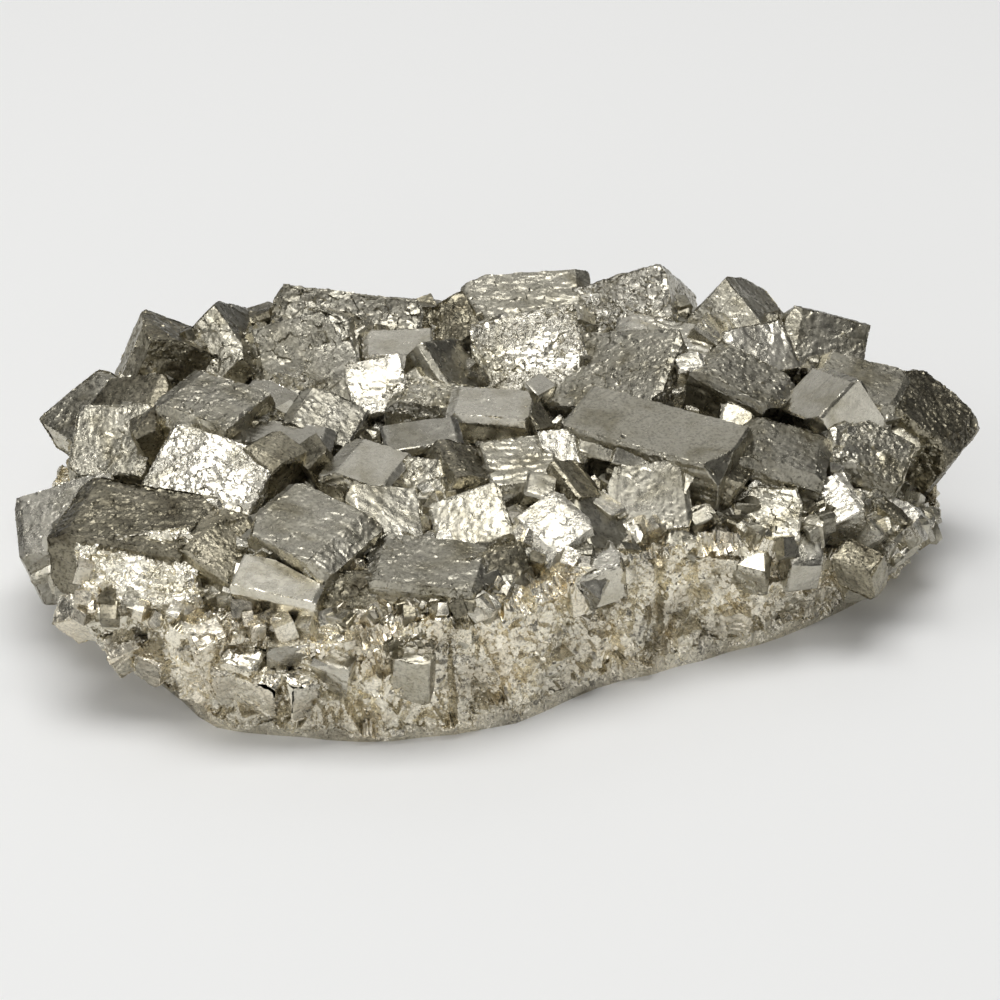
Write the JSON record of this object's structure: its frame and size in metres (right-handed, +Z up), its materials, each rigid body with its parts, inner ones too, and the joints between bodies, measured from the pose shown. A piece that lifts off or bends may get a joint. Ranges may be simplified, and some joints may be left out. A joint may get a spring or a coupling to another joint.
{
  "type": "pyrite specimen",
  "caption": "Natural pyrite cluster: a slab of massive pyrite crusted with intergrown cubic crystals, broken along its front, resting on a flat underside.",
  "frame": {"origin": "middle of the footprint, on the underside plane that the slab rests on", "axes": "+Z up out of the crystal crust, +X along the length of the slab, -Y towards the broken side"},
  "size_m": [0.2034, 0.1262, 0.0498],
  "materials": {
    "clean_pyrite": "polished",
    "etched_pyrite": "satin",
    "dull_pyrite": "satin",
    "massive_pyrite": "matte"
  },
  "bodies": {
    "root": {"crest_right": "clean_pyrite", "crest_left": "etched_pyrite", "striped_back": "clean_pyrite", "north_plate": "etched_pyrite", "north_peak": "dull_pyrite", "north_block": "dull_pyrite", "north_west_peak": "etched_pyrite", "north_west_block": "dull_pyrite", "north_east_peak": "etched_pyrite", "east_block": "etched_pyrite", "fang_block": "clean_pyrite", "fang": "clean_pyrite", "great_north_west": "etched_pyrite", "bright_dome": "clean_pyrite", "grey_step": "etched_pyrite", "great_east": "etched_pyrite", "smooth_chip": "clean_pyrite", "ridge_plate": "etched_pyrite", "slant_blade": "clean_pyrite", "centre_left_block": "etched_pyrite", "warm_cube": "etched_pyrite", "upper_flat": "clean_pyrite", "upper_chip": "etched_pyrite", "grey_strip": "clean_pyrite", "centre_block": "clean_pyrite", "long_plank": "etched_pyrite", "two_tone_bar": "clean_pyrite", "dark_diamond": "dull_pyrite", "banded_plate": "etched_pyrite", "small_crown": "clean_pyrite", "dark_chip": "dull_pyrite", "smooth_hex": "clean_pyrite", "speckled_knob": "etched_pyrite", "silver_block": "clean_pyrite", "white_front": "clean_pyrite", "dark_giant": "dull_pyrite", "mid_hex": "etched_pyrite", "golden_block": "dull_pyrite", "cream_tile": "clean_pyrite", "centre_table": "etched_pyrite", "dark_front": "dull_pyrite", "dark_triangle": "dull_pyrite", "glitter_left": "etched_pyrite", "glint_pile": "etched_pyrite", "bright_cube": "clean_pyrite", "beige_dome": "etched_pyrite", "low_grey": "etched_pyrite", "front_pale": "clean_pyrite", "west_prow": "etched_pyrite", "west_shelf": "dull_pyrite", "west_bright": "etched_pyrite", "west_block": "clean_pyrite", "east_slab": "etched_pyrite", "east_tip": "dull_pyrite", "east_facets": "etched_pyrite", "east_low": "etched_pyrite", "east_glint": "clean_pyrite", "east_button": "etched_pyrite", "east_pale": "clean_pyrite", "matrix": "massive_pyrite"}
  },
  "joints": []
}
